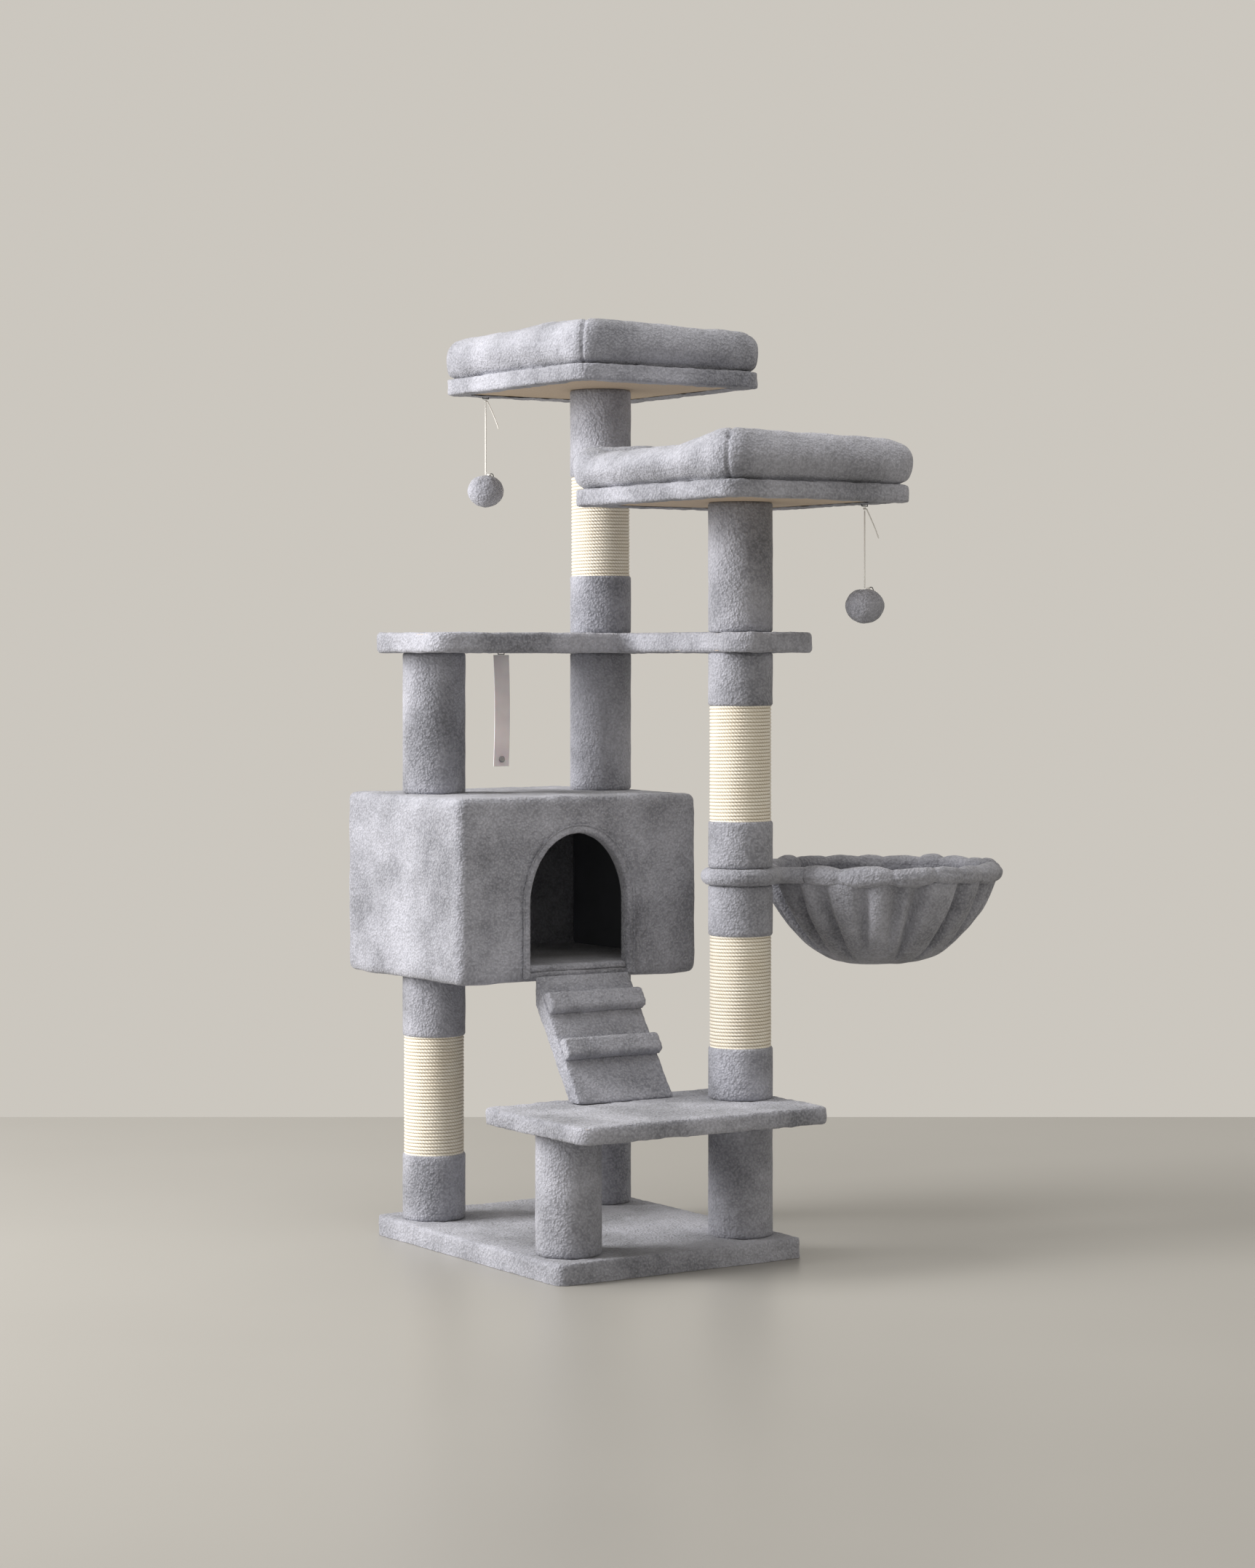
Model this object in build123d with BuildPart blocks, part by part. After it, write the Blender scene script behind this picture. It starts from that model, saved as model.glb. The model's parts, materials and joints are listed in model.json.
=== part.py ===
"""Cat tree: a covered base, a low step, a house with a ramp, a hammock, a middle platform and two perches.

Frame: millimetres, +Z up, origin at the centre of the underside of the base. +X runs along the front edge
towards the hammock. -Y is the front, where the step, the ramp and the doorway are.
"""
import os
from math import atan2, cos, hypot, radians, sin

from build123d import *

os.makedirs("parts", exist_ok=True)

# ---------------------------------------------------------------- driving dimensions, in millimetres

# Boards and fabric
cover = 2.5                  # plush cover over a board
seat_gap = 0.3               # between a moving or soft piece and its neighbour
fit = 0.1                    # radial clearance of a piece that is pushed into or over another

# Base, at the floor
base_width = 400.0
base_depth = 500.0
base_thickness = 28.5
base_corner = 14.0
floor_clearance = 1.5        # the base cover stops this far above the floor

# Posts: paper tubes in plush and sisal sleeves
plush_radius = 45.0
sisal_radius = 43.0
tube_radius = 38.2
tube_wall = 4.5
end_disc_thickness = 22.0
front_post_y = -180.0
short_post_x = -142.0        # post B, under the step
tall_post_x = 142.0          # post C, at the hammock
rear_left_x = -142.0         # post A
rear_left_y = 180.0
rear_right_x = 138.0         # post D
rear_right_y = 172.0
step_post_length = 166.5
house_post_length = 349.5
platform_post_length = 202.0
lower_perch_post_length = 181.0
top_perch_post_length = 360.0

# Sisal windings, measured up from the foot of their post
house_post_sisal = (93.5, 169.0)
step_to_ring_sisal = (72.0, 155.0)
ring_to_platform_sisal = (65.0, 161.0)
top_perch_sisal = (85.0, 147.0)

# Bolts and studs
bolt_radius = 4.0
bolt_clearance = 0.2
bolt_head_radius = 9.0
bolt_head_height = 4.0
head_recess_radius = 10.5
head_recess_depth = 5.0
bolt_reach = 18.0            # of a bolt or a stud into a post

# Step
step_width = 405.0
step_depth = 258.0
step_thickness = 24.0
step_x = -8.5
step_y = -194.0
step_corner = 18.0

# House
house_width = 400.0
house_depth = 324.0
house_height = 260.0
house_x = -12.0
house_front = -9.0
house_corner = 14.0
house_edge = 11.0
house_board = 12.0
floor_lining = 9.0
wall_lining = 2.5
doorway_x = -16.0
doorway_width = 163.0
doorway_top = 208.0          # above the underside of the house
doorway_arch = 100.0         # height of the curved part of the doorway
trim_thickness = 2.0
trim_band = 9.0

# Ramp
ramp_x = -13.0
ramp_width = 156.0
ramp_run = 119.0
ramp_thickness = 24.0
rung_width = 30.0
rung_height = 15.0
rung_places = (53.0, 126.0)  # down the ramp from its top

# Middle platform, an L
platform_left = -224.0
platform_right = 230.0
platform_back = 227.0
platform_inner_front = 31.0
platform_leg_left = 92.0
platform_leg_front = -252.0
platform_thickness = 28.0
platform_corner = 35.0
platform_inner_corner = 22.0

# Perches
perch_width = 320.0
perch_depth = 388.0
perch_band = 24.0            # height of the covered board
perch_corner = 28.0
perch_rim = 28.0             # width of the cover turned in under the board
bolster_width = 60.0
bolster_height = 63.0
bolster_corner = 34.0
bolster_round = 25.0
pad_height = 26.0
pad_round = 10.0

# Hammock
ring_height = 528.0
ring_sleeve_radius = 11.7
ring_rod_radius = 4.0
ring_post_loop = 44.0        # radius of the loop round the post, to the rod's centre
ring_radius = 163.0
ring_neck_bend = 30.0
ring_reach = 243.0           # from the post to the middle of the hammock
basket_wall = 4.0
basket_depth = 127.0
basket_floor_radius = 88.0
basket_heel = 16.0           # rise of the basket's skin at the floor radius
basket_bulge = 30.0

# Toys
ball_radius = 27.0
ball_half_height = 24.5
string_radius = 1.0
string_length = 108.0
tail_length = 45.0
tail_radius = 0.9
knot_radius = 2.6
wire_radius = 0.6
staple_width = 10.0
staple_legs = 9.0
staple_drop = 2.5            # of the staple's crown under the perch
left_toy_x = 44.0
left_toy_inset = 21.0        # from the back edge of the top perch
right_toy_y = -275.0
right_toy_inset = 15.0       # from the right edge of the lower perch

# Wall anchor strap
strap_x = -95.0
strap_y = 72.0
strap_width = 25.0
strap_thickness = 1.2
strap_length = 158.0
strap_bow = 3.0
strap_screw_rise = 10.0      # of the screw above the strap's lower end
screw_head_radius = 4.5
screw_head_height = 2.4
screw_shank_radius = 2.0
screw_shank_length = 9.0

# ---------------------------------------------------------------- heights and places that follow

base_top = base_thickness
step_bottom = base_top + step_post_length
step_top = step_bottom + step_thickness
house_bottom = base_top + house_post_length
house_top = house_bottom + house_height
platform_bottom = house_top + platform_post_length
platform_top = platform_bottom + platform_thickness
lower_perch_board_bottom = platform_top + lower_perch_post_length
top_perch_board_bottom = platform_top + top_perch_post_length
ring_bottom = ring_height - ring_sleeve_radius - seat_gap
ring_top = ring_height + ring_sleeve_radius + seat_gap

left_toy_y = rear_right_y + perch_depth / 2 - left_toy_inset
right_toy_x = tall_post_x + perch_width / 2 - right_toy_inset

post_a = (rear_left_x, rear_left_y)
post_b = (short_post_x, front_post_y)
post_c = (tall_post_x, front_post_y)
post_d = (rear_right_x, rear_right_y)

# Every post from its foot to its head, with its sisal winding where it has one
post_sections = {
    "post_a_lower": (post_a, base_top, house_bottom, house_post_sisal),
    "post_a_upper": (post_a, house_top, platform_bottom, None),
    "post_b": (post_b, base_top, step_bottom, None),
    "post_c_foot": (post_c, base_top, step_bottom, None),
    "post_c_lower": (post_c, step_top, ring_bottom, step_to_ring_sisal),
    "post_c_middle": (post_c, ring_top, platform_bottom, ring_to_platform_sisal),
    "post_c_upper": (post_c, platform_top, lower_perch_board_bottom, None),
    "post_d_lower": (post_d, base_top, house_bottom, house_post_sisal),
    "post_d_middle": (post_d, house_top, platform_bottom, None),
    "post_d_upper": (post_d, platform_top, top_perch_board_bottom, top_perch_sisal),
}

base_board_top = base_top - cover
step_board_top = step_top - cover
house_floor_top = house_bottom + cover + house_board
house_roof_bottom = house_top - cover - house_board
platform_board_top = platform_top - cover
perch_board_height = perch_band - 2 * cover
lower_perch_board_top = lower_perch_board_bottom + perch_board_height
top_perch_board_top = top_perch_board_bottom + perch_board_height

# Bolt seats: place, height of the face under the head, and the way the shank points
base_seat = head_recess_depth
bolt_seats = [(place, base_seat, 1) for place in (post_a, post_b, post_c, post_d)]
bolt_seats += [(post_b, step_board_top - head_recess_depth, -1)]
bolt_seats += [(place, house_floor_top - head_recess_depth, -1) for place in (post_a, post_d)]
bolt_seats += [(place, house_roof_bottom + head_recess_depth, 1) for place in (post_a, post_d)]
bolt_seats += [(post_a, platform_board_top - head_recess_depth, -1)]
bolt_seats += [(post_c, lower_perch_board_top - head_recess_depth, -1)]
bolt_seats += [(post_d, top_perch_board_top - head_recess_depth, -1)]

# Studs: place, and the two post ends that each one joins
stud_spans = [
    (post_c, step_bottom, step_top),
    (post_c, ring_bottom, ring_top),
    (post_c, platform_bottom, platform_top),
    (post_d, platform_bottom, platform_top),
]

standing = (Align.CENTER, Align.CENTER, Align.MIN)
hanging = (Align.CENTER, Align.CENTER, Align.MAX)


# ---------------------------------------------------------------- shared shapes


def save(piece, node):
    """Label a finished piece and write its STEP file."""
    piece.part.label = node
    export_step(piece.part, f"parts/{node}.step")


def column(place, bottom, top, radius, mode=Mode.ADD):
    """A round bar between two heights."""
    with Locations((place[0], place[1], bottom)):
        Cylinder(radius, top - bottom, align=standing, mode=mode)


def sleeve(place, bottom, top, outer, inner):
    """A tube between two heights."""
    with BuildSketch(Plane.XY.offset(bottom)) as section:
        with Locations(place):
            Circle(outer)
            Circle(inner, mode=Mode.SUBTRACT)
    extrude(section.sketch, amount=top - bottom)


def drill_bolt(place, seat, direction, far_side, near_side):
    """A bolt's clearance hole from its seat to the far side, and the recess of its head to the near side."""
    low, high = sorted((seat, far_side))
    column(place, low, high, bolt_radius + bolt_clearance, Mode.SUBTRACT)
    low, high = sorted((seat, near_side))
    column(place, low, high, head_recess_radius, Mode.SUBTRACT)


def drill(places, bottom, top):
    """Clearance holes for bolts and studs, right through between two heights."""
    for place in places:
        column(place, bottom, top, bolt_radius + bolt_clearance, Mode.SUBTRACT)


def rounded_slab(centre, width, depth, corner, bottom, top, mode=Mode.ADD):
    """A flat slab with round corners between two heights."""
    with BuildSketch(Plane.XY.offset(bottom)) as outline:
        with Locations(centre):
            RectangleRounded(width, depth, corner)
    extrude(outline.sketch, amount=top - bottom, mode=mode)


# ---------------------------------------------------------------- base

with BuildPart() as base_board:
    rounded_slab((0, 0), base_width - 2 * cover, base_depth - 2 * cover, base_corner - cover, 0, base_board_top)
    for place in (post_a, post_b, post_c, post_d):
        drill_bolt(place, base_seat, 1, base_board_top, 0)
save(base_board, "base_board")

with BuildPart() as base_cover:
    rounded_slab((0, 0), base_width, base_depth, base_corner, floor_clearance, base_top)
    fillet(base_cover.edges().group_by(Axis.Z)[-1], cover * 0.8)
    add(base_board.part, mode=Mode.SUBTRACT)
    for place in (post_a, post_b, post_c, post_d):
        column(place, floor_clearance, base_board_top, head_recess_radius, Mode.SUBTRACT)
    drill((post_a, post_b, post_c, post_d), base_board_top, base_top)
save(base_cover, "base_cover")

# ---------------------------------------------------------------- step

with BuildPart() as step_board:
    rounded_slab((step_x, step_y), step_width - 2 * cover, step_depth - 2 * cover, step_corner - cover,
                 step_bottom + cover, step_board_top)
    drill_bolt(post_b, step_board_top - head_recess_depth, -1, step_bottom + cover, step_board_top)
    drill([post_c], step_bottom + cover, step_board_top)
save(step_board, "step_board")

with BuildPart() as step_cover:
    rounded_slab((step_x, step_y), step_width, step_depth, step_corner, step_bottom, step_top)
    fillet(step_cover.faces().filter_by(Axis.Z).edges(), cover * 0.8)
    rounded_slab((step_x, step_y), step_width - 2 * cover, step_depth - 2 * cover, step_corner - cover,
                 step_bottom + cover, step_board_top, Mode.SUBTRACT)
    drill([post_b], step_bottom, step_bottom + cover)
    drill([post_c], step_bottom, step_top)
save(step_cover, "step_cover")

# ---------------------------------------------------------------- middle platform


def platform_outline(inset):
    """The L of the middle platform, drawn in from its outer edge."""
    left = platform_left + inset
    right = platform_right - inset
    back = platform_back - inset
    front = platform_leg_front + inset
    inner_front = platform_inner_front + inset
    leg_left = platform_leg_left + inset
    with BuildSketch(Plane.XY, mode=Mode.PRIVATE) as outline:
        with BuildLine():
            Polyline((left, inner_front), (leg_left, inner_front), (leg_left, front), (right, front),
                     (right, back), (left, back), close=True)
        make_face()
        inner = outline.vertices().sort_by_distance((leg_left, inner_front))[0]
        outer = [corner for corner in outline.vertices() if corner != inner]
        fillet(outer, platform_corner - inset)
        inner = outline.vertices().sort_by_distance((leg_left, inner_front))[0]
        fillet(inner, platform_inner_corner + inset)
    return outline.sketch


with BuildPart() as platform_board:
    with BuildSketch(Plane.XY.offset(platform_bottom + cover)):
        add(platform_outline(cover))
    extrude(amount=platform_thickness - 2 * cover)
    drill_bolt(post_a, platform_board_top - head_recess_depth, -1, platform_bottom + cover, platform_board_top)
    drill([post_c, post_d], platform_bottom + cover, platform_board_top)
save(platform_board, "platform_board")

with BuildPart() as platform_cover:
    with BuildSketch(Plane.XY.offset(platform_bottom)):
        add(platform_outline(0))
    extrude(amount=platform_thickness)
    fillet(platform_cover.faces().filter_by(Axis.Z).edges(), cover * 0.8)
    with BuildSketch(Plane.XY.offset(platform_bottom + cover)):
        add(platform_outline(cover))
    extrude(amount=platform_thickness - 2 * cover, mode=Mode.SUBTRACT)
    drill([post_a], platform_bottom, platform_bottom + cover)
    drill([post_c, post_d], platform_bottom, platform_top)
save(platform_cover, "platform_cover")

# ---------------------------------------------------------------- posts

tube_groups = {
    "post_a_tubes": ("post_a_lower", "post_a_upper"),
    "post_b_tube": ("post_b",),
    "post_c_tubes": ("post_c_foot", "post_c_lower", "post_c_middle", "post_c_upper"),
    "post_d_tubes": ("post_d_lower", "post_d_middle", "post_d_upper"),
}

for node, sections in tube_groups.items():
    with BuildPart() as tubes:
        for section in sections:
            place, foot, head, winding = post_sections[section]
            sleeve(place, foot, head, tube_radius, tube_radius - tube_wall)
    save(tubes, node)

for section, (place, foot, head, winding) in post_sections.items():
    with BuildPart() as plush:
        if winding is None:
            sleeve(place, foot, head, plush_radius, tube_radius + fit)
        else:
            winding_foot = foot + winding[0]
            winding_head = winding_foot + winding[1]
            sleeve(place, foot, winding_foot, plush_radius, tube_radius + fit)
            sleeve(place, winding_head, head, plush_radius, tube_radius + fit)
    save(plush, f"{section}_plush")
    if winding is not None:
        with BuildPart() as sisal:
            sleeve(place, winding_foot, winding_head, sisal_radius, tube_radius + fit)
        save(sisal, f"{section}_sisal")

with BuildPart() as end_discs:
    for place, foot, head, winding in post_sections.values():
        for bottom in (foot, head - end_disc_thickness):
            sleeve(place, bottom, bottom + end_disc_thickness, tube_radius - tube_wall - fit,
                   bolt_radius + bolt_clearance)
save(end_discs, "post_end_discs")

with BuildPart() as joining_studs:
    for place, low, high in stud_spans:
        column(place, low - bolt_reach, high + bolt_reach, bolt_radius)
    chamfer(joining_studs.edges().filter_by(GeomType.CIRCLE), 0.8)
save(joining_studs, "joining_studs")

# The face of a post that each bolt's shank goes into
post_faces = sorted({foot for place, foot, head, winding in post_sections.values()}
                    | {head for place, foot, head, winding in post_sections.values()})

with BuildPart() as post_bolts:
    for place, seat, direction in bolt_seats:
        face = min((z for z in post_faces if (z - seat) * direction > 0), key=lambda z: abs(z - seat))
        shank = abs(face - seat) + bolt_reach
        along = standing if direction > 0 else hanging
        against = hanging if direction > 0 else standing
        with Locations((place[0], place[1], seat)):
            Cylinder(bolt_radius, shank, align=along)
            Cylinder(bolt_head_radius, bolt_head_height, align=against)
save(post_bolts, "post_bolts")

# ---------------------------------------------------------------- house

house_back = house_front + house_depth
house_y = (house_front + house_back) / 2
house_centre = (house_x, house_y)
core_width = house_width - 2 * cover
core_depth = house_depth - 2 * cover
core_corner = house_corner - cover
room_width = core_width - 2 * house_board
room_depth = core_depth - 2 * house_board
room_front = house_front + cover + house_board
room_back = house_back - cover - house_board
doorway_apex = house_bottom + doorway_top
doorway_spring = doorway_apex - doorway_arch


def doorway(grow, foot):
    """The arched outline of the doorway, grown outwards, on the XZ plane."""
    half = doorway_width / 2 + grow
    with BuildSketch(Plane.XY, mode=Mode.PRIVATE) as outline:
        with BuildLine():
            EllipticalCenterArc((doorway_x, doorway_spring), half, doorway_arch + grow, arc_size=180)
            Polyline((doorway_x - half, doorway_spring), (doorway_x - half, foot), (doorway_x + half, foot),
                     (doorway_x + half, doorway_spring))
        make_face()
    return outline.sketch


def doorway_block(grow, foot, front, back, mode=Mode.ADD):
    """The doorway's outline as a solid between two depths."""
    with BuildSketch(Plane.XZ.offset(-back)) as arch:
        add(doorway(grow, foot))
    extrude(arch.sketch, amount=back - front, mode=mode)


def house_wall(low_x, high_x, low_y, high_y):
    """The part of the wall ring that lies in a box, in plan."""
    with BuildSketch(Plane.XY.offset(house_floor_top)) as plan:
        with Locations(house_centre):
            RectangleRounded(core_width, core_depth, core_corner)
            Rectangle(room_width, room_depth, mode=Mode.SUBTRACT)
        with Locations(((low_x + high_x) / 2, (low_y + high_y) / 2)):
            Rectangle(high_x - low_x, high_y - low_y, mode=Mode.INTERSECT)
    extrude(plan.sketch, amount=house_roof_bottom - house_floor_top)


with BuildPart() as house_floor:
    rounded_slab(house_centre, core_width, core_depth, core_corner, house_bottom + cover, house_floor_top)
    fillet(house_floor.edges().group_by(Axis.Z)[0], house_edge - cover)
    for place in (post_a, post_d):
        drill_bolt(place, house_floor_top - head_recess_depth, -1, house_bottom + cover, house_floor_top)
save(house_floor, "house_floor")

with BuildPart() as house_roof:
    rounded_slab(house_centre, core_width, core_depth, core_corner, house_roof_bottom, house_top - cover)
    fillet(house_roof.edges().group_by(Axis.Z)[-1], house_edge - cover)
    for place in (post_a, post_d):
        drill_bolt(place, house_roof_bottom + head_recess_depth, 1, house_top - cover, house_roof_bottom)
save(house_roof, "house_roof")

core_left = house_x - core_width / 2
core_right = house_x + core_width / 2
core_front = house_front + cover
core_back = house_back - cover

with BuildPart() as house_front_wall:
    house_wall(core_left, core_right, core_front, room_front)
    doorway_block(trim_thickness, house_floor_top, core_front, room_front, Mode.SUBTRACT)
save(house_front_wall, "house_front_wall")

with BuildPart() as house_back_wall:
    house_wall(core_left, core_right, room_back, core_back)
save(house_back_wall, "house_back_wall")

with BuildPart() as house_side_walls:
    house_wall(core_left, core_right, room_front, room_back)
save(house_side_walls, "house_side_walls")

with BuildPart() as house_skin:
    rounded_slab(house_centre, house_width, house_depth, house_corner, house_bottom, house_top)
    fillet(house_skin.faces().filter_by(Axis.Z).edges(), house_edge)
    with BuildPart(mode=Mode.PRIVATE) as house_core:
        rounded_slab(house_centre, core_width, core_depth, core_corner, house_bottom + cover, house_top - cover)
        fillet(house_core.faces().filter_by(Axis.Z).edges(), house_edge - cover)
    add(house_core.part, mode=Mode.SUBTRACT)
    doorway_block(trim_thickness, house_floor_top, house_front, core_front, Mode.SUBTRACT)
    drill((post_a, post_d), house_bottom, house_bottom + cover)
    drill((post_a, post_d), house_top - cover, house_top)
save(house_skin, "house_skin")

with BuildPart() as house_lining:
    with Locations((house_x, house_y, house_floor_top)):
        Box(room_width - 2 * fit, room_depth - 2 * fit, floor_lining, align=standing)
    with Locations((doorway_x, house_front, house_floor_top)):
        Box(doorway_width - 2 * fit, room_front - house_front + 2 * cover, floor_lining,
            align=(Align.CENTER, Align.MIN, Align.MIN))
    with Locations((house_x, room_back - fit, house_floor_top)):
        Box(room_width - 2 * fit, wall_lining, house_roof_bottom - house_floor_top - fit,
            align=(Align.CENTER, Align.MAX, Align.MIN))
save(house_lining, "house_lining")

with BuildPart() as door_trim:
    doorway_block(trim_band, house_bottom + house_edge, house_front - trim_thickness, house_front)
    doorway_block(trim_thickness, house_floor_top, house_front, room_front)
    doorway_block(0, house_bottom, house_front - trim_thickness, room_front, Mode.SUBTRACT)
save(door_trim, "door_trim")

# ---------------------------------------------------------------- ramp

ramp_rise = house_floor_top - step_top
ramp_angle = atan2(ramp_rise, ramp_run)
ramp_head_y = house_front - trim_thickness
ramp_foot_y = ramp_head_y - ramp_run
ramp_length = hypot(ramp_rise, ramp_run)
ramp_plane = Plane(
    origin=(ramp_x, ramp_head_y, house_floor_top),
    x_dir=(1, 0, 0),
    z_dir=(0, -sin(ramp_angle), cos(ramp_angle)),
)


def ramp_side(inset):
    """The ramp seen from its side, drawn in from its outer faces."""
    with BuildSketch(Plane.XY, mode=Mode.PRIVATE) as side:
        with BuildLine():
            Polyline((ramp_foot_y, step_top), (ramp_head_y, house_floor_top),
                     (ramp_head_y, house_floor_top - ramp_thickness / cos(ramp_angle)),
                     (ramp_foot_y + ramp_thickness / sin(ramp_angle), step_top), close=True)
        make_face()
        if inset > 0:
            offset(amount=-inset, mode=Mode.REPLACE)
    return side.sketch


with BuildPart() as ramp_board:
    with BuildSketch(Plane.YZ.offset(ramp_x)):
        add(ramp_side(cover))
    extrude(amount=ramp_width / 2 - cover, both=True)
save(ramp_board, "ramp_board")

with BuildPart() as ramp_cover:
    with BuildSketch(Plane.YZ.offset(ramp_x)):
        add(ramp_side(0))
    extrude(amount=ramp_width / 2, both=True)
    add(ramp_board.part, mode=Mode.SUBTRACT)
save(ramp_cover, "ramp_cover")

with BuildPart() as ramp_rungs:
    for place in rung_places:
        with Locations(ramp_plane * Location((0, -place, 0))):
            Box(ramp_width, rung_width, rung_height, align=standing)
    rung_tops = ramp_rungs.faces().filter_by(lambda f: f.normal_at().dot(ramp_plane.z_dir) > 0.99)
    fillet(rung_tops.edges().filter_by(Axis.X), rung_height * 0.4)
save(ramp_rungs, "ramp_rungs")

# ---------------------------------------------------------------- perches

perches = {
    "lower_perch": (post_c, lower_perch_board_bottom),
    "top_perch": (post_d, top_perch_board_bottom),
}

for name, (centre, board_bottom) in perches.items():
    board_top = board_bottom + perch_board_height
    band_bottom = board_bottom - cover
    band_top = band_bottom + perch_band
    board_width = perch_width - 2 * cover
    board_depth = perch_depth - 2 * cover

    with BuildPart() as perch_board:
        rounded_slab(centre, board_width, board_depth, perch_corner - cover, board_bottom, board_top)
        drill_bolt(centre, board_top - head_recess_depth, -1, board_bottom, board_top)
    save(perch_board, f"{name}_board")

    with BuildPart() as perch_cover:
        rounded_slab(centre, perch_width, perch_depth, perch_corner, band_bottom, band_top)
        fillet(perch_cover.edges().group_by(Axis.Z)[0], cover * 0.8)
        rounded_slab(centre, board_width, board_depth, perch_corner - cover, board_bottom, board_top,
                     Mode.SUBTRACT)
        rounded_slab(centre, perch_width - 2 * perch_rim, perch_depth - 2 * perch_rim, perch_corner / 2,
                     band_bottom, board_bottom, Mode.SUBTRACT)
    save(perch_cover, f"{name}_cover")

    bed_width = perch_width - 2 * bolster_width
    bed_depth = perch_depth - 2 * bolster_width
    with BuildPart() as perch_bolster:
        rounded_slab(centre, perch_width, perch_depth, bolster_corner, band_top, band_top + bolster_height)
        rounded_slab(centre, bed_width, bed_depth, bolster_corner / 2, band_top, band_top + bolster_height,
                     Mode.SUBTRACT)
        fillet(perch_bolster.edges().group_by(Axis.Z)[-1], bolster_round)
    save(perch_bolster, f"{name}_bolster")

    with BuildPart() as perch_pad:
        rounded_slab(centre, bed_width - 2 * seat_gap, bed_depth - 2 * seat_gap, bolster_corner / 2 - seat_gap,
                     band_top, band_top + pad_height)
        fillet(perch_pad.edges().group_by(Axis.Z)[-1], pad_round)
    save(perch_pad, f"{name}_pad")

# ---------------------------------------------------------------- hammock

ring_centre_x = tall_post_x + ring_reach
post_loop_to_bend = ring_post_loop + ring_neck_bend
ring_to_bend = ring_radius + ring_neck_bend
bend_x = (post_loop_to_bend**2 - ring_to_bend**2 + ring_reach**2) / (2 * ring_reach)
bend_y = (post_loop_to_bend**2 - bend_x**2) ** 0.5


def ring_path():
    """The keyhole that the ring's rod follows: a loop round the post, two neck bends and the hammock's ring."""
    post = Vector(tall_post_x, front_post_y, ring_height)
    middle = post + Vector(ring_reach, 0, 0)
    bends = [post + Vector(bend_x, side * bend_y, 0) for side in (1, -1)]
    loop_ends = [post + (bend - post).normalized() * ring_post_loop for bend in bends]
    ring_ends = [middle + (bend - middle).normalized() * ring_radius for bend in bends]
    inward = [((post - bend).normalized() + (middle - bend).normalized()).normalized() for bend in bends]
    with BuildLine(mode=Mode.PRIVATE) as path:
        ThreePointArc(loop_ends[0], post - Vector(ring_post_loop, 0, 0), loop_ends[1])
        ThreePointArc(loop_ends[1], bends[1] + inward[1] * ring_neck_bend, ring_ends[1])
        ThreePointArc(ring_ends[1], middle + Vector(ring_radius, 0, 0), ring_ends[0])
        ThreePointArc(ring_ends[0], bends[0] + inward[0] * ring_neck_bend, loop_ends[0])
    return path.line


def ring_tube(outer, inner):
    """Sweep a round section along the keyhole."""
    path = ring_path()
    with BuildSketch(Plane(origin=path @ 0, z_dir=path % 0)) as section:
        Circle(outer)
        if inner > 0:
            Circle(inner, mode=Mode.SUBTRACT)
    sweep(section.sketch, path=path)


with BuildPart() as hammock_ring:
    ring_tube(ring_rod_radius, 0)
save(hammock_ring, "hammock_ring")

with BuildPart() as hammock_sleeve:
    ring_tube(ring_sleeve_radius, ring_rod_radius + fit)
save(hammock_sleeve, "hammock_sleeve")

with BuildPart() as hammock_hub:
    sleeve(post_c, ring_bottom, ring_top, ring_post_loop - ring_sleeve_radius - seat_gap,
           bolt_radius + bolt_clearance)
save(hammock_hub, "hammock_hub")

basket_top = ring_height - ring_sleeve_radius - seat_gap
basket_bottom = basket_top - basket_depth


def basket_side(inset):
    """Half of the basket's section on the XZ plane, from the axis out to the rim, drawn in from outside."""
    rim = (ring_radius - inset, basket_top)
    belly = (ring_radius - basket_bulge - inset, basket_bottom + basket_depth * 0.45)
    heel = (basket_floor_radius - inset, basket_bottom + basket_heel + inset * 0.8)
    with BuildSketch(Plane.XY, mode=Mode.PRIVATE) as side:
        with BuildLine():
            Spline((0, basket_bottom + inset), heel, belly, rim, tangents=((1, 0), (0.15, 1)))
            Polyline(rim, (0, basket_top), (0, basket_bottom + inset))
        make_face()
    return side.sketch


with BuildPart() as hammock_basket:
    with BuildSketch(Plane((ring_centre_x, front_post_y, 0), x_dir=(1, 0, 0), z_dir=(0, -1, 0))):
        add(basket_side(0))
        add(basket_side(basket_wall), mode=Mode.SUBTRACT)
    revolve(axis=Axis((ring_centre_x, front_post_y, 0), (0, 0, 1)))
save(hammock_basket, "hammock_basket")

# ---------------------------------------------------------------- toys and staples

lower_rim = lower_perch_board_bottom - cover
top_rim = top_perch_board_bottom - cover
knot_drop = staple_drop + wire_radius + seat_gap + knot_radius

toys = {
    "left_toy": (left_toy_x, left_toy_y, top_rim - knot_drop),
    "right_toy": (right_toy_x, right_toy_y, lower_rim - knot_drop),
}
tail_lean = Vector(0.834, -0.551, 0)

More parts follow.
